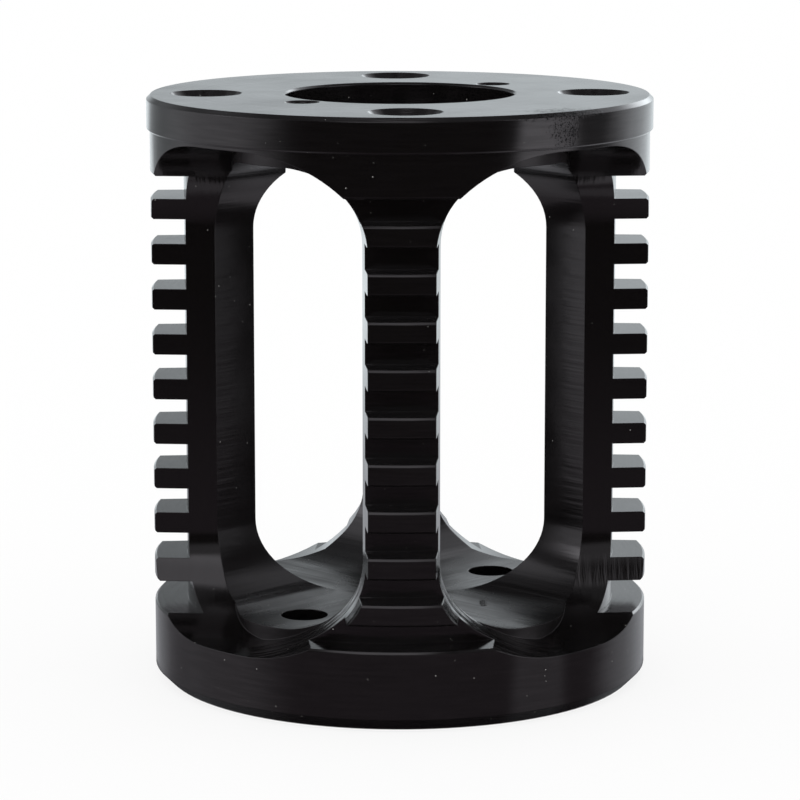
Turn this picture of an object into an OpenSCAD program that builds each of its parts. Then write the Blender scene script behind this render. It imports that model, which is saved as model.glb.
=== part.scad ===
// Round finned heat sink, turned and milled from one bar of aluminium.
// A solid base and a flanged top plate are joined by four finned columns.
// Two slots cross inside, and each window between two columns widens outwards.
// The part stands on its base. Z is the turning axis, and the windows face along X and Y.

/* [Turned body] */
// Diameter of the base, the fins and the top block
body_d = 48; // [44:0.5:60]
// Diameter of the flange lip at the very top
lip_d = 48.6; // [48.2:0.1:62]
// Height of the flange lip
lip_h = 3.3; // [2:0.1:4.5]
// Edge break round the top face
lip_chamfer = 0.4; // [0.2:0.05:1]
// Edge break round the underside of the flange lip
lip_break = 0.15; // [0.05:0.05:0.3]
// Height of the base up to the lowest groove, which is also the inner floor
base_h = 7.6; // [6:0.1:14]
// Chamfer round the foot of the base
base_chamfer = 1.2; // [0.4:0.1:3]
// Height of the block above the highest groove
top_block_h = 7.4; // [6:0.1:14]

/* [Fins] */
// Number of fins on each column
fin_count = 9; // [4:1:14]
// Thickness of a fin
fin_t = 2; // [1.2:0.1:3]
// Height of the groove between two fins
fin_gap = 2.38; // [1.6:0.02:4]
// Diameter at the bottom of the grooves
core_d = 41.6; // [38:0.2:43]
// Edge break on the rims of the fins
fin_chamfer = 0.2; // [0.05:0.05:0.5]

/* [Crossing slots] */
// Width of the slots that cross inside
slot_w = 20; // [16:0.5:22]
// Corner radius of the slots
slot_r = 7.5; // [3:0.25:8]
// Thickness of the top plate over the slots
plate_t = 5.5; // [4:0.1:8]

/* [Window flares] */
// Width of a column at the rim of its fins
column_w = 6.2; // [4:0.2:9]
// Angle by which each side of a column opens towards the inside
column_taper = 4.5; // [0:0.5:8]
// Radius of the curve that leaves the side of a column
haunch_r = 6.8; // [4:0.2:9]
// Radius of the flatter curve that ends in the sill or the head of a window
crown_r = 13.6; // [10:0.2:18]
// Angle of the crown curve, measured from upright
crown_angle = 44; // [30:1:50]
// Depth of the window sill below the inner floor
sill_drop = 1.6; // [0.6:0.1:3]
// Band of the body left between the window head and the flange lip
head_land = 0.3; // [0.1:0.05:1]
// Radius of the rounded nose on which the inner floor ends in each window
nose_r = 9.2; // [8:0.1:10]
// Distance from the axis to the centre of that nose
nose_offset = 9.5; // [8:0.1:10.5]

/* [Holes] */
// Diameter of the bore through the top plate
bore_d = 22; // [18:0.5:23]
// Diameter of the blind screw holes over the columns
screw_hole_d = 5.4; // [4.5:0.3:6.9]
// Chamfer at the mouths of the blind screw holes
screw_chamfer = 0.8; // [0.3:0.05:1]
// Diameter of the circle that the blind screw holes lie on
screw_pcd = 37.2; // [34:0.2:39]
// Angle by which the blind screw holes are turned from the middle of the columns
screw_turn = 1; // [-5:0.5:5]
// Metal left between the tip of a blind hole and the highest groove
screw_hole_floor = 0.9; // [0.5:0.1:3]
// Point angle of the drill that made the blind holes
drill_angle = 118; // [90:1:140]
// Distance between the two small holes, the same in the plate and in the base
pair_spacing = 26.1; // [25:0.1:28]
// Diameter of the two small holes in the top plate
plate_hole_d = 3; // [2:0.1:3.6]
// Diameter of the two holes in the base
base_hole_d = 4.5; // [3:0.1:6]
// Edge break at the mouths of the bore and the two small holes
hole_chamfer = 0.2; // [0.1:0.05:0.6]

/* [Hidden] */
$fn = 96;

columns = 4;
quarter = 360 / columns;
over = 1; // reach of a cut past the face that it opens

body_r = body_d / 2;
lip_r = lip_d / 2;
core_r = core_d / 2;
fin_pitch = fin_t + fin_gap;
fins_h = fin_count * fin_pitch + fin_gap;
total_h = base_h + fins_h + top_block_h;
lip_z = total_h - lip_h;
lip_edge = max(0.02, min(lip_break, (lip_r - body_r) / 2));

slot_top = total_h - plate_t;
sill_z = base_h - sill_drop;
head_z = lip_z - head_land;
window_h = head_z - sill_z;

// The crown and haunch curves touch on the line through their centres.
crown_x = haunch_r + (crown_r - haunch_r) * sin(crown_angle);
haunch_y = crown_r - (crown_r - haunch_r) * cos(crown_angle);
// A cut that opens to the side runs out past the body and the lip, whichever is wider.
reach = max(body_r, lip_r) + over;
// A flare runs along the whole column, and is as wide as the whole window.
flare_start = 0;
flare_end = reach;
flare_w = reach;

// Half of the turned outline at one groove, from its lower rim to its upper rim
function groove(z) = [
    [body_r, z - fin_chamfer],
    [body_r - fin_chamfer, z],
    [core_r, z],
    [core_r, z + fin_gap],
    [body_r - fin_chamfer, z + fin_gap],
    [body_r, z + fin_gap + fin_chamfer],
];

// The bar as it comes off the lathe, with a groove on each side of every fin
module turned_blank() {
    rotate_extrude()
        polygon(concat(
            [[0, 0], [body_r - base_chamfer, 0], [body_r, base_chamfer]],
            [for (i = [0:fin_count], p = groove(base_h + i * fin_pitch)) p],
            [
                [body_r, lip_z],
                [lip_r - lip_edge, lip_z],
                [lip_r, lip_z + lip_edge],
                [lip_r, total_h - lip_chamfer],
                [lip_r - lip_chamfer, total_h],
                [0, total_h],
            ]
        ));
}

// Turns a flat outline of width and height upright, and runs it along X from one distance to another
module run_along_x(from, to) {
    translate([from, 0, 0])
        rotate([90, 0, 90])
            linear_extrude(height = to - from)
                children();
}

// Section of a crossing slot, with a flat floor at the height of the base
module slot_section() {
    straight_w = slot_w - 2 * slot_r;
    slot_h = slot_top - base_h;
    translate([-slot_w / 2, base_h + slot_r])
        square([slot_w, slot_h - 2 * slot_r]);
    translate([-straight_w / 2, base_h])
        square([straight_w, slot_h]);
    for (x = [-1, 1], y = [base_h + slot_r, slot_top - slot_r])
        translate([x * straight_w / 2, y])
            circle(slot_r);
}

module crossing_slots() {
    for (turn = [0, quarter])
        rotate(turn)
            run_along_x(-reach, reach)
                slot_section();
}

// Curve at the lower end of the flare beside a column: the side is at x = 0, and the sill is at y = 0
module flare_end_section() {
    crown = [crown_x, crown_r];
    towards_touch = [-sin(crown_angle), -cos(crown_angle)];
    translate([haunch_r, haunch_y])
        circle(haunch_r);
    intersection() {
        translate(crown)
            circle(crown_r);
        polygon([
            crown,
            crown + 2 * crown_r * towards_touch,
            [crown_x, -crown_r],
        ]);
    }
}

// The whole flare beside a column, with the same curve at the sill and at the head
module flare_section() {
    translate([0, haunch_y])
        square([flare_w, window_h - 2 * haunch_y]);
    translate([crown_x, 0])
        square([flare_w - crown_x, window_h]);
    flare_end_section();
    translate([0, window_h])
        mirror([0, 1])
            flare_end_section();
}

// One cut beside a column that runs along X, on its +Y side
module column_side_flare() {
    translate([body_r, column_w / 2, sill_z])
        rotate(-column_taper)
            run_along_x(flare_start - body_r, flare_end - body_r)
                flare_section();
}

// The window between two columns opens towards +X, and spares the nose of the inner floor
module window_flare() {
    difference() {
        intersection() {
            rotate(-quarter / 2)
                column_side_flare();
            mirror([0, 1, 0])
                rotate(-quarter / 2)
                    column_side_flare();
        }
        translate([nose_offset, 0, sill_z - over])
            cylinder(r = nose_r, h = window_h + 2 * over);
    }
}

// A drilled hole from z upwards to the top face, with a chamfer there
module hole_from_top(d, z, chamfer) {
    translate([0, 0, z])
        cylinder(d = d, h = total_h - z + over);
    translate([0, 0, total_h - chamfer])
        cylinder(d1 = d, d2 = d + 2 * (chamfer + over), h = chamfer + over);
}

// A blind hole that ends in the point of the drill
module blind_screw_hole() {
    tip_h = screw_hole_d / 2 / tan(drill_angle / 2);
    tip_z = total_h - top_block_h + screw_hole_floor;
    hole_from_top(screw_hole_d, tip_z + tip_h, screw_chamfer);
    translate([0, 0, tip_z])
        cylinder(d1 = 0, d2 = screw_hole_d, h = tip_h);
}

module holes() {
    hole_from_top(bore_d, base_h + (slot_top - base_h) / 2, hole_chamfer);
    for (i = [0:columns - 1])
        rotate(quarter / 2 + screw_turn + i * quarter)
            translate([screw_pcd / 2, 0, 0])
                blind_screw_hole();
    for (side = [-1, 1])
        translate([side * pair_spacing / 2, 0, 0]) {
            hole_from_top(plate_hole_d, slot_top - over, hole_chamfer);
            translate([0, 0, -over])
                cylinder(d = base_hole_d, h = base_h + 2 * over);
        }
}

module heat_sink() {
    color("#2b2b2d")
        difference() {
            turned_blank();
            crossing_slots();
            for (i = [0:columns - 1])
                rotate(i * quarter)
                    window_flare();
            holes();
        }
}

heat_sink();
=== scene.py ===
"""Round finned heat sink in black anodised aluminium, in a light tent with an open front."""

import math
from typing import Callable, NamedTuple

import bmesh
import bpy
import numpy as np
from bpy.props import FloatProperty, FloatVectorProperty, PointerProperty
from bpy.types import Operator, Panel, PropertyGroup
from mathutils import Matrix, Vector


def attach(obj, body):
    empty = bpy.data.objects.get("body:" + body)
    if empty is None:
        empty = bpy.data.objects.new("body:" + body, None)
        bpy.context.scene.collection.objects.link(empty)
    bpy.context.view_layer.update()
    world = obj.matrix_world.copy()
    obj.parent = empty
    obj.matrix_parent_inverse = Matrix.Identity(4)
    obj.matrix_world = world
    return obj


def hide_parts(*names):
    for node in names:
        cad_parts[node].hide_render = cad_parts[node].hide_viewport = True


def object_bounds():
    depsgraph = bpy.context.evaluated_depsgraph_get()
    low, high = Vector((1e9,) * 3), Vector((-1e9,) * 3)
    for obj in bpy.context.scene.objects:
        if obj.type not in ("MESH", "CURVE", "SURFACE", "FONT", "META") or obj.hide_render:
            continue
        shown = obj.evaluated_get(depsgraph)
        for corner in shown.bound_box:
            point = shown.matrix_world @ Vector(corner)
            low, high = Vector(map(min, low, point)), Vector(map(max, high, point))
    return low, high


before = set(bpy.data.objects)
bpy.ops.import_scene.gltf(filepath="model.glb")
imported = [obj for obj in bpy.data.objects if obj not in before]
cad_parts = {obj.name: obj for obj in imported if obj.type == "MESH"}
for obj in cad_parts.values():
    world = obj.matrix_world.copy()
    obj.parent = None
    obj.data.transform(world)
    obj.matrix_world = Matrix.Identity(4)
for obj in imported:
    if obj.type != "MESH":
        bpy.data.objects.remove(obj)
CAD_LOW, CAD_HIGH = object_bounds()

bl_info = {
    "name": "Finned heat sink",
    "version": (1, 0, 0),
    "blender": (4, 5, 0),
    "location": "View3D > Sidebar > Heat sink",
    "description":
        "Finishes a turned and milled heat sink in black anodised aluminium and lights it in a tent",
    "category": "Object",
}

MM = 0.001
MICRON = 0.001 * MM
NODE = "heat_sink"
BODY = "root"
PIECE = "machined_body"

RIM_R = CAD_HIGH.x
TOP_Z = CAD_HIGH.z
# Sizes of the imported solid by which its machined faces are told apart
CORE_R = 20.8 * MM
BORE_R = 11 * MM
NOSE_R, NOSE_OFFSET = 9.2 * MM, 9.5 * MM
SILL_Z, FLOOR_Z = 6.0 * MM, 7.6 * MM
BREAK_H = 0.9 * MM  # height that holds the top edge breaks and the chamfers of the screw holes

# The front column lies half way between -X and -Y, and the camera stands in line with it.
DIAGONAL = 1 / math.sqrt(2)
TO_FRONT, TO_RIGHT = (-DIAGONAL, -DIAGONAL, 0), (DIAGONAL, -DIAGONAL, 0)
AWAY_ANGLE = 45  # degrees from +X to straight away from the camera

WHITE, BLACK = (1, 1, 1, 1), (0, 0, 0, 1)
NOISE_LOW, NOISE_HIGH = 0.3, 0.7  # values between which most of a noise lies
MATH, VECTOR_MATH, MAP_RANGE = "ShaderNodeMath", "ShaderNodeVectorMath", "ShaderNodeMapRange"
NOISE, MIX = "ShaderNodeTexNoise", "ShaderNodeMix"
JOIN_XYZ, SPLIT_XYZ = "ShaderNodeCombineXYZ", "ShaderNodeSeparateXYZ"


class Spot(NamedTuple):
    """A worn or dirty spot on the metal: its centre, and its reach sideways and upwards, all in mm."""

    centre: tuple
    reach: float
    up: float


# Scuffs on the lip, right of the front
SCUFFS = (
    Spot((-3.2, -24.1, 55.1), 1.7, 1.5),
    Spot((-2.6, -24.2, 56.5), 4.6, 0.45),
)
# A short smear of dirt on the inner floor
SMEAR = tuple(Spot((2.4 + step, -9.0 + step, 7.6), 0.3, 0.6) for step in (-0.6, -0.3, 0.0, 0.3, 0.6))


class LightPanel(NamedTuple):
    """A bright panel of the tent. Each side is an angle and the width of its soft edge, in degrees."""

    left: tuple  # azimuths, to the right of straight away from the camera
    right: tuple
    low: tuple  # elevations
    high: tuple
    wall: float  # light that it adds to the wall, and to the ground near the foot
    ground: float


# Sides past straight down, and past straight towards the camera, for a panel that doesn't end there
DOWN = (-91, 1)
ROUND_LEFT, ROUND_RIGHT = (-181, 1), (181, 1)
PANELS = (
    LightPanel((-116, 34), (-56, 26), DOWN, (48, 24), 0.66, 0.28),
    LightPanel((-56, 26), (-27, 20), DOWN, (34, 24), 0.24, 0.16),
    LightPanel((-27, 20), (0, 10), DOWN, (12.5, 10), 0.57, 0.28),
    LightPanel((0, 10), (12, 10), DOWN, (34, 24), 0.60, 0.40),
    LightPanel((12, 10), (68, 28), DOWN, (46, 24), 1.00, 0.45),
    LightPanel((97, 8), (127, 7), DOWN, (50, 16), 1.05, 0.23),
    LightPanel((18, 12), (44, 14), (10, 12), (28, 12), 2.20, 0.00),
    LightPanel((-100, 10), (-84, 10), (16, 12), (30, 12), 1.80, 0.00),
    LightPanel((-24, 10), (-2, 5), DOWN, (0, 5), 0.42, 0.00),
    LightPanel((150, 24), ROUND_RIGHT, (12, 8), (40, 24), 0.32, 0.00),
    LightPanel(ROUND_LEFT, (-150, 24), (12, 8), (40, 24), 0.32, 0.00),
)
# A strip of light overhead: its angles to either side of the view, and up from behind the camera
STRIP_LEFT, STRIP_RIGHT = (-20, 9), (9, 9)
STRIP_START, STRIP_END = (31, 10), (82.5, 5)
STRIP_LIGHT, CLOTH_LIGHT = 0.95, 0.16
# Azimuth, on both sides, where the tent ends and the open front starts, and the width of that edge
OPEN_FRONT = (128, 24)


def linear(colour):
    """Linear RGBA of an sRGB hex colour such as #404040."""
    srgb = np.array([int(colour[i:i + 2], 16) for i in (1, 3, 5)]) / 255
    rgb = np.where(srgb <= 0.04045, srgb / 12.92, ((srgb + 0.055) / 1.055) ** 2.4)
    return (*rgb.tolist(), 1.0)


def add_node(tree, kind, options=(), values=(), links=()):
    """Adds one node: options are its settings, values its unlinked inputs, links what feeds the others.

    A link comes from a socket, or from the first output of a node.
    """
    node = tree.nodes.new(kind)
    for name, value in dict(options).items():
        setattr(node, name, value)
    for name, value in dict(values).items():
        node.inputs[name].default_value = value
    for name, source in dict(links).items():
        socket = source.outputs[0] if isinstance(source, bpy.types.Node) else source
        tree.links.new(socket, node.inputs[name])
    return node


def new_material(name):
    """An empty node material, and its tree."""
    material = bpy.data.materials.new(name)
    material.use_nodes = True
    material.node_tree.nodes.clear()
    return material, material.node_tree


def slope_of(tree):
    """Size of the upright part of the normal: 0 on a wall, 1 on a floor."""
    shape = add_node(tree, "ShaderNodeNewGeometry")
    normal = add_node(tree, SPLIT_XYZ, links={0: shape.outputs["Normal"]})
    return add_node(tree, MATH, {"operation": "ABSOLUTE"}, links={0: normal.outputs[2]})


def deepened(tree, height, share):
    """Height h scaled about its middle value by a share d, as 0.5 + (h - 0.5) d."""
    middle = 0.5
    level = add_node(tree, MATH, {"operation": "SUBTRACT"}, {1: middle}, {0: height})
    return add_node(tree, MATH, {"operation": "MULTIPLY_ADD"}, {2: middle}, {0: level, 1: share})


def distances(tree, place):
    """Distances from the axis towards the front column and to its right."""
    return [
        add_node(tree, VECTOR_MATH, {"operation": "DOT_PRODUCT"}, {1: way}, {0: place}).outputs["Value"]
        for way in (TO_FRONT, TO_RIGHT)
    ]


def turned_lines(tree, place, settings):
    """Height of the rings that a lathe tool leaves: noise over the radius and the height, in feeds.

    The noise also drifts with the angle round the axis, over the length of a streak, so that no ring is
    whole. That angle starts at the front column, and its seam runs down the back one.
    """
    front, right = distances(tree, place)
    angle = add_node(tree, MATH, {"operation": "ARCTAN2"}, links={0: right, 1: front})
    drift = add_node(
        tree, MATH, {"operation": "MULTIPLY"}, {1: RIM_R * settings.feed / settings.streak}, {0: angle})
    flat = add_node(tree, VECTOR_MATH, {"operation": "MULTIPLY"}, {1: (1, 1, 0)}, {0: place})
    radius = add_node(tree, VECTOR_MATH, {"operation": "LENGTH"}, links={0: flat})
    axes = add_node(tree, SPLIT_XYZ, links={0: place})
    rings = add_node(tree, JOIN_XYZ, links={0: drift, 1: radius.outputs["Value"], 2: axes.outputs[2]})
    # A real feed is about 0.1 mm, one pixel of the render, so the rings are drawn three times as coarse.
    return add_node(
        tree, NOISE, values={"Scale": 1 / settings.feed, "Detail": 2.0, "Roughness": 0.6},
        links={"Vector": rings})


def milled_lines(tree, place, settings):
    """Height of the rows that a ball mill leaves beside a column.

    With d the distance along the nearest column in rows, bent by noise, a row is the bow
    (2 frac(d) - 1)^2, and finer noise over d lies on it. The straight sides are cut in one pass and stay
    smooth, so the marks fade in where the flare curves. Beside the front column the rows stand out.
    Elsewhere there is only the noise, and it fades out again towards the sill and the head.
    """
    drift_share, bend_rows = 0.06, 3.0
    front_fade, bow_share, bow_depth = 1.5 * MM, 0.5, 1.7
    straight_slope, curved_slope, straight_depth = 0.12, 0.6, 0.02
    haunch_slope, sill_slope, haunch_depth, sill_depth = 0.65, 0.85, 0.30, 0.03

    front, right = distances(tree, place)
    front_size, side_size = (
        add_node(tree, MATH, {"operation": "ABSOLUTE"}, links={0: distance})
        for distance in (front, right)
    )
    along = add_node(tree, MATH, {"operation": "MAXIMUM"}, links={0: front_size, 1: side_size})
    rows = add_node(tree, MATH, {"operation": "MULTIPLY"}, {1: 1 / settings.stepover}, {0: along})
    drift = add_node(
        tree, VECTOR_MATH, {"operation": "SCALE"}, {"Scale": drift_share / settings.stepover}, {0: place})
    line = add_node(tree, JOIN_XYZ, links={0: rows})
    vector = add_node(tree, VECTOR_MATH, {"operation": "ADD"}, links={0: line, 1: drift})
    bend = add_node(tree, NOISE, values={"Scale": 0.8, "Detail": 1.0}, links={"Vector": vector})
    fine = add_node(
        tree, NOISE, values={"Scale": 2.0, "Detail": 3.0, "Roughness": 0.62}, links={"Vector": vector})
    bent = add_node(tree, MATH, {"operation": "MULTIPLY_ADD"}, {1: bend_rows}, {0: bend, 2: rows})
    part = add_node(tree, MATH, {"operation": "FRACT"}, links={0: bent})
    centred = add_node(tree, MATH, {"operation": "MULTIPLY_ADD"}, {1: 2.0, 2: -1.0}, {0: part})
    bow = add_node(tree, MATH, {"operation": "MULTIPLY"}, links={0: centred, 1: centred})
    nearer = add_node(tree, MATH, {"operation": "SUBTRACT"}, links={0: front, 1: side_size})
    bowed = add_node(
        tree, MAP_RANGE,
        values={"From Min": -front_fade, "From Max": front_fade, "To Min": 0.0, "To Max": bow_share},
        links={"Value": nearer})
    height = add_node(tree, MIX, links={0: bowed, 2: fine, 3: bow})

    slope = slope_of(tree)
    curved = add_node(
        tree, MAP_RANGE,
        values={
            "From Min": straight_slope, "From Max": curved_slope,
            "To Min": straight_depth, "To Max": 1.0,
        },
        links={"Value": slope})
    fading = add_node(
        tree, MAP_RANGE,
        values={
            "From Min": sill_slope, "From Max": haunch_slope,
            "To Min": sill_depth, "To Max": haunch_depth,
        },
        links={"Value": slope})
    share = add_node(tree, MATH, {"operation": "MULTIPLY_ADD"}, {1: bow_depth}, {0: bowed, 2: fading})
    depth = add_node(tree, MATH, {"operation": "MULTIPLY"}, links={0: curved, 1: share})
    return deepened(tree, height, depth)


def slot_lines(tree, place, settings):
    """Height of the marks in the crossing slots: noise, long along an arm and fine across it and upwards.

    The distance along an arm is the larger of |x| and |y|. The marks are deep in the floor and less so in
    the outer part of the walls, and the rest of the walls is nearly smooth.
    """
    along_share, upward_share = 0.06, 2.4
    inner_end, outer_start = 12.2 * MM, 13.2 * MM
    inner_depth, outer_depth = 0.10, 0.45
    wall_slope, floor_slope = 0.6, 0.9

    size = add_node(tree, VECTOR_MATH, {"operation": "ABSOLUTE"}, links={0: place})
    axes = add_node(tree, SPLIT_XYZ, links={0: size})
    along, across = (
        add_node(tree, MATH, {"operation": kind}, links={0: axes.outputs[0], 1: axes.outputs[1]})
        for kind in ("MAXIMUM", "MINIMUM")
    )
    drawn = add_node(tree, MATH, {"operation": "MULTIPLY"}, {1: along_share}, {0: along})
    upwards = add_node(tree, MATH, {"operation": "MULTIPLY"}, {1: upward_share}, {0: axes.outputs[2]})
    vector = add_node(tree, JOIN_XYZ, links={0: drawn, 1: across, 2: upwards})
    noise = add_node(
        tree, NOISE, values={"Scale": 1 / settings.step_down, "Detail": 2.0, "Roughness": 0.5},
        links={"Vector": vector})
    walls = add_node(
        tree, MAP_RANGE,
        values={
            "From Min": inner_end, "From Max": outer_start,
            "To Min": inner_depth, "To Max": outer_depth,
        },
        links={"Value": along})
    floor = add_node(
        tree, MAP_RANGE,
        values={"From Min": wall_slope, "From Max": floor_slope, "To Min": 0.0, "To Max": 1.0},
        links={"Value": slope_of(tree)})
    depth = add_node(tree, MATH, {"operation": "MAXIMUM"}, links={0: walls, 1: floor})
    return deepened(tree, noise, depth)


class Finish(NamedTuple):
    """How one group of faces was machined, and what that does to the anodised film on them."""

    name: str
    lines: Callable  # gives the height of the tool lines
    depth: float  # depth of the tool lines
    wall_roughness: float
    floor_roughness: float
    contrast: float  # how far the film's own tone follows the lines
    clean: float  # share of the metal that no dust lies on
    edge: float = 1.0  # tint of the mirror image at a low angle
    spots: tuple = ()
    dent: float = 25 * MICRON  # depth of the dents in the spots


FINISHES = (
    # Turned on a lathe: fine rings draw the mirror image out into faint streaks round the axis.
    Finish(
        "turned_black_anodised_aluminium", turned_lines, 10 * MICRON,
        wall_roughness=0.13, floor_roughness=0.13, contrast=0.14, clean=0.68, spots=SCUFFS),
    # Shaped with a ball mill: its rows break the mirror image into bands where a flare curves.
    Finish(
        "milled_black_anodised_aluminium", milled_lines, 90 * MICRON,
        wall_roughness=0.13, floor_roughness=0.13, contrast=0.10, clean=0.86),
    # Left as the roughing mill cut it: a dull face, which stays dark at a low angle.
    Finish(
        "rough_milled_black_anodised_aluminium", slot_lines, 60 * MICRON,
        wall_roughness=0.35, floor_roughness=0.35, contrast=0.10, clean=0.86, edge=0.2),
    # Slotted with a long mill: marks along the arms, smooth walls and a satin floor.
    Finish(
        "slotted_black_anodised_aluminium", slot_lines, 70 * MICRON,
        wall_roughness=0.15, floor_roughness=0.27, contrast=0.12, clean=0.88, spots=SMEAR,
        dent=250 * MICRON),
)
TURNED, MILLED, ROUGH, SLOTTED = range(len(FINISHES))


def spotted(tree, place, spots):
    """How far a point lies in the nearest spot, from 0 to 1: the scaled distance, with a ragged edge."""
    rag_size, rag_reach = 0.5 * MM, 1.4
    outside, inside = 1.8, 1.3
    rag = add_node(tree, NOISE, values={"Scale": 1 / rag_size, "Detail": 2.0}, links={"Vector": place})
    total = None
    for spot in spots:
        centre = [c * MM for c in spot.centre]
        scale = [1 / (reach * MM) for reach in (spot.reach, spot.reach, spot.up)]
        offset = add_node(tree, VECTOR_MATH, {"operation": "SUBTRACT"}, {1: centre}, {0: place})
        scaled = add_node(tree, VECTOR_MATH, {"operation": "MULTIPLY"}, {1: scale}, {0: offset})
        distance = add_node(tree, VECTOR_MATH, {"operation": "LENGTH"}, links={0: scaled})
        ragged = add_node(
            tree, MATH, {"operation": "MULTIPLY_ADD"}, {1: rag_reach},
            {0: rag, 2: distance.outputs["Value"]})
        within = add_node(
            tree, MAP_RANGE, values={"From Min": outside, "From Max": inside, "To Min": 0.0, "To Max": 1.0},
            links={"Value": ragged})
        if total is None:
            total = within
        else:
            total = add_node(tree, MATH, {"operation": "MAXIMUM"}, links={0: total, 1: within})
    return total


def dusted(tree, place, clean, settings):
    """1 on a speck of dust, else 0: a disc in each cell whose random value is over the clean share."""
    full_value = 0.9
    cells = add_node(
        tree, "ShaderNodeTexVoronoi", values={"Scale": 1 / settings.dust_spacing, "Randomness": 1.0},
        links={"Vector": place})
    full_size = settings.dust_size / settings.dust_spacing
    size = add_node(
        tree, MAP_RANGE,
        values={"From Min": clean, "From Max": full_value, "To Min": 0.0, "To Max": full_size},
        links={"Value": cells.outputs["Color"]})
    return add_node(
        tree, MATH, {"operation": "LESS_THAN"}, links={0: cells.outputs["Distance"], 1: size})


def anodised(finish, settings):
    """Black anodised aluminium: a dyed oxide film on machined metal.

    The dye leaves almost no colour of its own, so the eye sees mostly what the film mirrors, warm black
    seen straight on and pale at a low angle. The tool lines under the film smear that mirror image across
    them.
    """
    wall_slope, floor_slope = 0.6, 0.95
    handled_low, handled_high = 0.8, 1.25
    spot_roughness, pit_low, pit_high, pit_black = 0.12, 0.51, 0.60, 0.85
    film_metallic = 0.93

    material, tree = new_material(finish.name)
    place = add_node(tree, "ShaderNodeTexCoord").outputs["Object"]
    height = finish.lines(tree, place, settings)
    # Deburring breaks the sharp edges by about 0.1 mm, which draws a thin light line along them.
    edges = add_node(tree, "ShaderNodeBevel", {"samples": 6}, {"Radius": settings.edge_break})
    bump = add_node(
        tree, "ShaderNodeBump", values={"Strength": 1.0, "Distance": finish.depth},
        links={"Height": height, "Normal": edges})

    # Handling leaves faint clouds that are duller or glossier.
    machined = add_node(
        tree, MAP_RANGE,
        values={
            "From Min": wall_slope, "From Max": floor_slope,
            "To Min": finish.wall_roughness, "To Max": finish.floor_roughness,
        },
        links={"Value": slope_of(tree)})
    cloud = add_node(
        tree, NOISE, values={"Scale": 1 / settings.handling, "Detail": 3.0}, links={"Vector": place})
    handled = add_node(
        tree, MAP_RANGE,
        values={
            "From Min": NOISE_LOW, "From Max": NOISE_HIGH, "To Min": handled_low, "To Max": handled_high,
        },
        links={"Value": cloud})
    rough = add_node(tree, MATH, {"operation": "MULTIPLY"}, links={0: machined, 1: handled})

    # The dye takes a little better on the open side of a tool line, so the film's tone follows the lines.
    tone = add_node(
        tree, MAP_RANGE,
        values={
            "From Min": NOISE_LOW, "From Max": NOISE_HIGH,
            "To Min": 1 - finish.contrast, "To Max": 1 + finish.contrast,
        },
        links={"Value": height})
    film = add_node(
        tree, VECTOR_MATH, {"operation": "SCALE"}, {0: tuple(settings.dye)[:3]}, {"Scale": tone})

    # A spot is dented and dull, and its deepest dents are black.
    if finish.spots:
        spot = spotted(tree, place, finish.spots)
        hatch = add_node(
            tree, NOISE, values={"Scale": 1 / settings.hatch, "Detail": 2.0}, links={"Vector": place})
        dents = add_node(tree, MATH, {"operation": "MULTIPLY"}, links={0: hatch, 1: spot})
        bump = add_node(
            tree, "ShaderNodeBump", values={"Strength": 1.0, "Distance": finish.dent},
            links={"Height": dents, "Normal": bump})
        rough = add_node(
            tree, MATH, {"operation": "MULTIPLY_ADD"}, {1: spot_roughness}, {0: spot, 2: rough})
        pits = add_node(
            tree, MAP_RANGE,
            values={"From Min": pit_low, "From Max": pit_high, "To Min": 0.0, "To Max": pit_black},
            links={"Value": hatch})
        pitted = add_node(tree, MATH, {"operation": "MULTIPLY"}, links={0: pits, 1: spot})
        film = add_node(tree, MIX, {"data_type": "RGBA"}, {7: BLACK}, {0: pitted, 6: film}).outputs[2]

    dust = dusted(tree, place, finish.clean, settings)
    colour = add_node(tree, MIX, {"data_type": "RGBA"}, {7: tuple(settings.dust)}, {0: dust, 6: film})
    # The film is not quite clear and scatters a little of the light that enters it, and dust is no metal.
    metallic = add_node(
        tree, MATH, {"operation": "MULTIPLY_ADD"}, {1: -film_metallic, 2: film_metallic}, {0: dust})
    shader = add_node(
        tree, "ShaderNodeBsdfPrincipled",
        values={"Specular Tint": (finish.edge, finish.edge, finish.edge, 1)},
        links={"Base Color": colour.outputs[2], "Metallic": metallic, "Roughness": rough, "Normal": bump})
    add_node(tree, "ShaderNodeOutputMaterial", links={"Surface": shader})
    return material


def place_mesh(name, points, closed=False):
    """A mesh of quads over rows of points. In a closed one the last column joins the first."""
    rows, columns = points.shape[:2]
    grid = np.arange(rows * columns).reshape(rows, columns)
    if closed:
        grid = np.concatenate([grid, grid[:, :1]], axis=1)
    quads = np.stack([grid[:-1, :-1], grid[:-1, 1:], grid[1:, 1:], grid[1:, :-1]], axis=-1)
    mesh = bpy.data.meshes.new(name)
    mesh.from_pydata(points.reshape(-1, 3), [], quads.reshape(-1, 4))
    mesh.update()
    piece = bpy.data.objects.new(name, mesh)
    bpy.context.scene.collection.objects.link(piece)
    return piece


def soft_step(value, middle, width):
    """Smooth rise from 0 to 1 over a width, centred on a middle value."""
    rise = np.clip((value - middle) / width + 0.5, 0, 1)
    return rise * rise * (3 - 2 * rise)


def soft_box(value, low, high):
    """1 between two ends and 0 beyond them. Each end is a middle value and the width of its soft edge."""
    return soft_step(value, *low) * (1 - soft_step(value, *high))


def panel_light(azimuth, elevation, on_ground):
    """Sum of the panels at an azimuth and an elevation, in degrees, on the wall or on the ground."""
    return sum(
        (panel.ground if on_ground else panel.wall)
        * soft_box(azimuth, panel.left, panel.right) * soft_box(elevation, panel.low, panel.high)
        for panel in PANELS)


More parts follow.
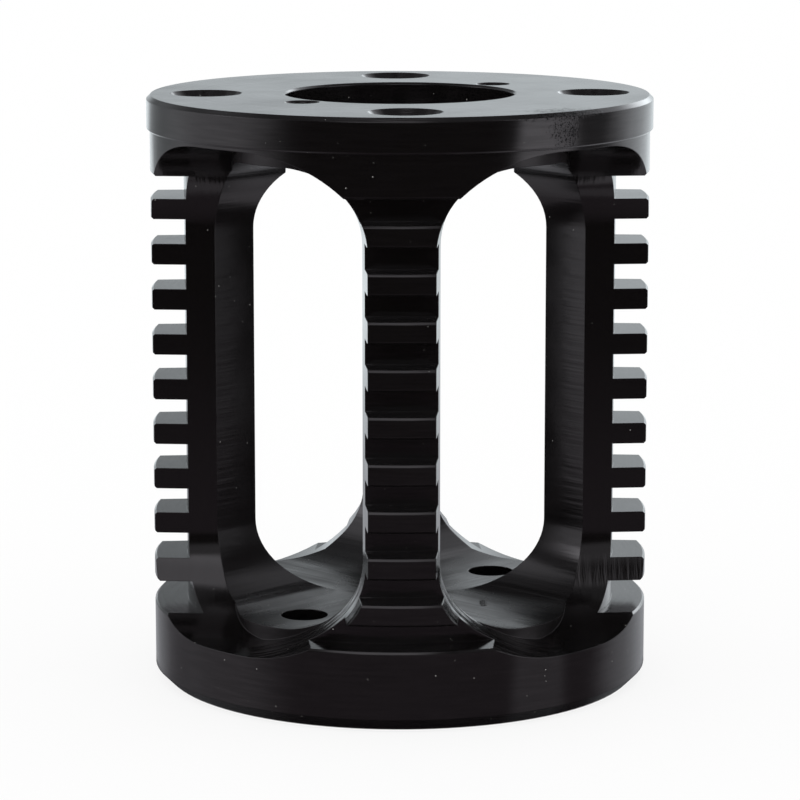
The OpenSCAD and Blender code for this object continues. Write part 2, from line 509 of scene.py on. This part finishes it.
def wall_light(azimuth, elevation, settings):
    """Colour of the tent: dim cloth, its panels, a strip overhead, and the dark room in the open front."""
    front = soft_step(np.abs(azimuth), *OPEN_FRONT)
    up, turn = np.radians(elevation), np.radians(azimuth)
    across = np.degrees(np.arcsin(np.cos(up) * np.sin(turn)))
    ahead = np.degrees(np.arctan2(np.sin(up), -np.cos(up) * np.cos(turn)))
    strip = soft_box(across, STRIP_LEFT, STRIP_RIGHT) * soft_box(ahead, STRIP_START, STRIP_END)
    cloth = CLOTH_LIGHT * (1 - front) + panel_light(azimuth, elevation, False) + STRIP_LIGHT * strip
    return cloth[..., None] * np.array(settings.tent[:3]) + front[..., None] * np.array(settings.room[:3])


def ground_light(azimuth, radius, settings):
    """Glow of the tent's ground, which the metal mirrors in place of the lit floor: grey beside the foot, a
    painted shadow right under its edge, and as the wall further out.

    A ray that the foot mirrors goes off at up to twice the angle from the front of the point where it
    lands, so the panels are looked up at that wider angle close to the foot.
    """
    widening, below = 1.7, -8.0
    # Painted shadow of the foot: the ground's glow falls to this share right under its edge, over this
    # radius and width.
    shade, shade_r, shade_w = 0.18, RIM_R + 0.6 * MM, 1.6 * MM
    far_r, far_w = 150 * MM, 200 * MM
    wider = 1 + (RIM_R / radius) ** widening
    from_front = np.minimum((180 - np.abs(azimuth)) * wider, 180)
    seen = np.copysign(180 - from_front, azimuth)
    low = np.full_like(azimuth, below)
    panels = panel_light(seen, low, True)[..., None]
    # The painted shadow, darkest right under the foot's edge.
    painted_foot_shadow = (shade + (1 - shade) * soft_step(radius, shade_r, shade_w))[..., None]
    near = (panels * np.array(settings.tent[:3]) + np.array(settings.ground[:3])) * painted_foot_shadow
    far = soft_step(radius, far_r, far_w)[..., None]
    return near * (1 - far) + wall_light(azimuth, low, settings) * far


class HeatSinkFinish(PropertyGroup):
    """Sizes and colours of the anodised finish."""

    dye: FloatVectorProperty(
        name="Dye", description="Reflection of the dyed film, seen straight on", subtype="COLOR", size=4,
        min=0, max=1, default=linear("#444041"))
    dust: FloatVectorProperty(
        name="Dust", description="Colour of dust on the metal", subtype="COLOR", size=4,
        min=0, max=1, default=linear("#b4b3b0"))
    feed: FloatProperty(
        name="Lathe feed", description="Distance between the rings left by the lathe tool", unit="LENGTH",
        default=0.32 * MM, precision=5)
    streak: FloatProperty(
        name="Streak", description="Length of the streaks in those rings", unit="LENGTH",
        default=5 * MM, precision=5)
    stepover: FloatProperty(
        name="Mill stepover", description="Distance between the rows that the mill leaves beside a column",
        unit="LENGTH", default=1.1 * MM, precision=5)
    step_down: FloatProperty(
        name="Mill step down", description="Distance between the marks that the mill leaves in the slots",
        unit="LENGTH", default=1.4 * MM, precision=5)
    handling: FloatProperty(
        name="Handling", description="Size of the faint clouds that handling leaves", unit="LENGTH",
        default=6 * MM, precision=5)
    edge_break: FloatProperty(
        name="Edge break", description="Radius by which deburring breaks the sharp edges", unit="LENGTH",
        default=0.11 * MM, precision=5)
    hatch: FloatProperty(
        name="Scuff grain", description="Size of the fine dents in a scuffed spot", unit="LENGTH",
        default=0.17 * MM, precision=5)
    dust_spacing: FloatProperty(
        name="Dust spacing", description="Distance between specks of dust", unit="LENGTH",
        default=0.5 * MM, precision=5)
    dust_size: FloatProperty(
        name="Dust size", description="Radius of the largest specks of dust", unit="LENGTH",
        default=0.048 * MM, precision=5)


class HeatSinkStage(PropertyGroup):
    """Sizes and colours of the floor and the tent."""

    floor: FloatVectorProperty(
        name="Floor", description="Colour of the floor", subtype="COLOR", size=4,
        min=0, max=1, default=linear("#fefefe"))
    tent: FloatVectorProperty(
        name="Tent", description="Colour of the light that comes through the tent", subtype="COLOR",
        size=4, min=0, max=1, default=linear("#f3fbff"))
    room: FloatVectorProperty(
        name="Room", description="Colour of the dark room beyond the open front", subtype="COLOR", size=4,
        min=0, max=1, default=linear("#1a1514"))
    ground: FloatVectorProperty(
        name="Ground", description="Colour of the ground beside the foot, as the metal mirrors it",
        subtype="COLOR", size=4, min=0, max=1, default=linear("#605b61"))
    tent_radius: FloatProperty(
        name="Tent radius", description="Distance from the heat sink to the wall of the tent",
        unit="LENGTH", default=1.0)


class HEATSINK_OT_metal(Operator):
    """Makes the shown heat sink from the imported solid, with its turned, milled and slotted finishes"""

    bl_idname = "heatsink.metal"
    bl_label = "Machined metal"

    def execute(self, context):
        merge_distance, sharp_angle = 1 * MICRON, math.radians(24)
        # A copy takes the smooth shading and the finishes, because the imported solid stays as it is.
        work = bmesh.new()
        work.from_mesh(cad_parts[NODE].data)
        bmesh.ops.remove_doubles(work, verts=work.verts, dist=merge_distance)
        mesh = bpy.data.meshes.new(PIECE)
        work.to_mesh(mesh)
        work.free()
        packed_normals = mesh.attributes.get("custom_normal")
        if packed_normals:
            mesh.attributes.remove(packed_normals)
        mesh.shade_smooth()
        mesh.set_sharp_from_angle(angle=sharp_angle)
        for finish in FINISHES:
            mesh.materials.append(anodised(finish, context.scene.heat_sink_finish))
        mesh.polygons.foreach_set("material_index", self.finish_of(mesh))
        piece = bpy.data.objects.new(PIECE, mesh)
        context.scene.collection.objects.link(piece)
        weigh = piece.modifiers.new("flat faces stay flat", "WEIGHTED_NORMAL")
        weigh.keep_sharp = True
        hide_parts(NODE)
        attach(piece, BODY)
        return {"FINISHED"}

    @staticmethod
    def finish_of(mesh):
        """Finish of each face, from its centre and normal.

        Turned faces have a normal with no part round the axis, and lie outside the core or in the bore.
        Rough faces are the rounded noses between the sills and the inner floor. Slotted faces have a
        normal with no part along X or none along Y. The flares and their sills are milled.
        """
        slack, nose_slack, bore_slack = 0.1 * MM, 0.06 * MM, 0.25 * MM
        no_part, no_turn, upright, level = 0.02, 0.06, 0.1, 0.98
        count = len(mesh.polygons)
        centre = np.zeros(count * 3, np.float32)
        normal = np.zeros(count * 3, np.float32)
        mesh.polygons.foreach_get("center", centre)
        mesh.polygons.foreach_get("normal", normal)
        x, y, z = centre.reshape(-1, 3).T
        normal_x, normal_y, normal_z = normal.reshape(-1, 3).T
        rise = np.abs(normal_z)
        radius = np.hypot(x, y)
        round_axis = np.abs(x * normal_y - y * normal_x) / np.maximum(radius, MICRON)

        nose = np.zeros(count, bool)
        for way_x, way_y in ((1, 0), (0, 1), (-1, 0), (0, -1)):
            reach = np.hypot(x - way_x * NOSE_OFFSET, y - way_y * NOSE_OFFSET)
            nose |= (np.abs(reach - NOSE_R) < nose_slack) & (rise < upright)
        outside = (radius > CORE_R - slack) | (np.abs(radius - BORE_R) < bore_slack)
        faced = (z > TOP_Z - BREAK_H) | (z < slack)

        finish = np.full(count, MILLED, np.int32)
        finish[np.minimum(np.abs(normal_x), np.abs(normal_y)) < no_part] = SLOTTED
        finish[(rise > level) & (z < (SILL_Z + FLOOR_Z) / 2)] = MILLED
        finish[nose] = ROUGH
        finish[(round_axis < no_turn) & outside | faced] = TURNED
        return finish


class HEATSINK_OT_stage(Operator):
    """Makes the floor, the tent that the metal mirrors, the light and the camera"""

    bl_idname = "heatsink.stage"
    bl_label = "Tent, floor and camera"

    def execute(self, context):
        settings = context.scene.heat_sink_stage
        scene = context.scene
        scene.view_settings.view_transform = "Standard"
        self.make_world(scene)
        self.make_floor(settings)
        self.make_tent(settings)
        self.make_camera(scene)
        return {"FINISHED"}

    @staticmethod
    def make_world(scene):
        """An even white sky, at which a colour renders as it is written."""
        world = bpy.data.worlds.new("white_studio")
        world.use_nodes = True
        tree = world.node_tree
        tree.nodes.clear()
        sky = add_node(tree, "ShaderNodeBackground", values={"Color": WHITE, "Strength": 1.0})
        add_node(tree, "ShaderNodeOutputWorld", links={"Surface": sky})
        scene.world = world

    @staticmethod
    def make_floor(settings):
        """A flat square sheet, 6 m across, just under the foot of the heat sink."""
        half, count, gap, white_share = 3.0, 13, 0.02 * MM, 0.85
        across = np.linspace(-half, half, count)
        x, y = np.meshgrid(across, across)
        floor = place_mesh("floor", np.stack([x, y, np.full_like(x, -gap)], axis=-1))
        # Matt white paper. It looks white to the camera and in any mirror, and keeps a faint shadow.
        material, tree = new_material("white_paper")
        paper = add_node(tree, "ShaderNodeBsdfDiffuse", values={"Color": tuple(settings.floor)})
        white = add_node(tree, "ShaderNodeEmission", values={"Color": WHITE, "Strength": 1.0})
        path = add_node(tree, "ShaderNodeLightPath")
        seen = path.outputs["Is Camera Ray"]
        for ray in ("Is Glossy Ray", "Is Transmission Ray"):
            seen = add_node(tree, MATH, {"operation": "MAXIMUM"}, links={0: seen, 1: path.outputs[ray]})
        share = add_node(tree, MATH, {"operation": "MULTIPLY"}, {1: white_share}, {0: seen})
        sheet = add_node(tree, "ShaderNodeMixShader", links={0: share, 1: paper, 2: white})
        add_node(tree, "ShaderNodeOutputMaterial", links={"Surface": sheet})
        floor.data.materials.append(material)
        # The metal mirrors the ground of the tent instead, which lies on the paper.
        floor.visible_glossy = False

    @staticmethod
    def make_tent(settings):
        """A surface of revolution: a flat ground ring, then a dome, with a colour of light at each point.

        A point of the dome at elevation e is the tent's radius times (cos e, sin e), turned by the azimuth.
        The ring's radius grows by the same factor from row to row.
        """
        turns, rises, rings = 360, 90, 60
        inner, ground_z, highest = 0.94 * RIM_R, 0.01 * MM, 89.9
        azimuth = np.linspace(-180, 180, turns, endpoint=False)
        elevation = np.linspace(0, highest, rises)[1:]
        ring = inner * (settings.tent_radius / inner) ** np.linspace(0, 1, rings)
        radius = np.concatenate([ring, settings.tent_radius * np.cos(np.radians(elevation))])
        height = np.concatenate([
            np.full(rings, ground_z), settings.tent_radius * np.sin(np.radians(elevation))])
        turn = np.radians(AWAY_ANGLE - azimuth)
        points = np.stack([
            radius[:, None] * np.cos(turn), radius[:, None] * np.sin(turn),
            np.repeat(height[:, None], turns, axis=1)], axis=-1)
        light = np.concatenate([
            ground_light(*np.meshgrid(azimuth, ring), settings),
            wall_light(*np.meshgrid(azimuth, elevation), settings)])
        tent = place_mesh("tent", points, closed=True)
        colours = np.concatenate([light, np.ones_like(light[..., :1])], axis=-1)
        tent.data.attributes.new("light", "FLOAT_COLOR", "POINT").data.foreach_set(
            "color", colours.astype(np.float32).ravel())
        # White cloth with light behind it: it only glows, and shows only as what the metal mirrors.
        material, tree = new_material("white_tent_cloth")
        level = add_node(tree, "ShaderNodeAttribute", {"attribute_name": "light"})
        glow = add_node(
            tree, "ShaderNodeEmission", values={"Strength": 1.0}, links={"Color": level.outputs["Color"]})
        add_node(tree, "ShaderNodeOutputMaterial", links={"Surface": glow})
        tent.data.materials.append(material)
        tent.visible_camera = False
        tent.visible_diffuse = False
        tent.visible_shadow = False

    @staticmethod
    def make_camera(scene):
        """A long lens, a little above the top of the heat sink and in line with its front column."""
        pitch, yaw = 0.18004, 0.00848
        right, back, height = -2.858 * MM, 339.068 * MM, 88.546 * MM
        lens = bpy.data.cameras.new("camera")
        lens.sensor_width = 36
        lens.lens = 159.12
        lens.clip_start = 0.01
        lens.clip_end = 20
        camera = bpy.data.objects.new("camera", lens)
        scene.collection.objects.link(camera)
        front_way, right_way, up_way = Vector(TO_FRONT), Vector(TO_RIGHT), Vector((0, 0, 1))
        camera.location = right * right_way + back * front_way + height * up_way
        ahead = math.sin(yaw) * right_way - math.cos(yaw) * front_way
        ahead = math.cos(pitch) * ahead - math.sin(pitch) * up_way
        camera.rotation_mode = "QUATERNION"
        camera.rotation_quaternion = ahead.to_track_quat("-Z", "Y")
        scene.camera = camera


class HEATSINK_PT_panel(Panel):
    """Lists the finish, the stage and the steps that make them"""

    bl_idname = "HEATSINK_PT_panel"
    bl_label = "Heat sink"
    bl_space_type = "VIEW_3D"
    bl_region_type = "UI"
    bl_category = "Heat sink"

    def draw(self, context):
        layout = self.layout
        for group, operator in (
            (context.scene.heat_sink_finish, HEATSINK_OT_metal),
            (context.scene.heat_sink_stage, HEATSINK_OT_stage),
        ):
            box = layout.box()
            for name in group.__annotations__:
                box.prop(group, name)
            box.operator(operator.bl_idname)


CLASSES = (HeatSinkFinish, HeatSinkStage, HEATSINK_OT_metal, HEATSINK_OT_stage, HEATSINK_PT_panel)


def register():
    for part in CLASSES:
        bpy.utils.register_class(part)
    bpy.types.Scene.heat_sink_finish = PointerProperty(type=HeatSinkFinish)
    bpy.types.Scene.heat_sink_stage = PointerProperty(type=HeatSinkStage)


def unregister():
    del bpy.types.Scene.heat_sink_stage
    del bpy.types.Scene.heat_sink_finish
    for part in reversed(CLASSES):
        bpy.utils.unregister_class(part)


def main():
    register()
    bpy.ops.heatsink.stage()
    bpy.ops.heatsink.metal()


if __name__ == "__main__":
    main()
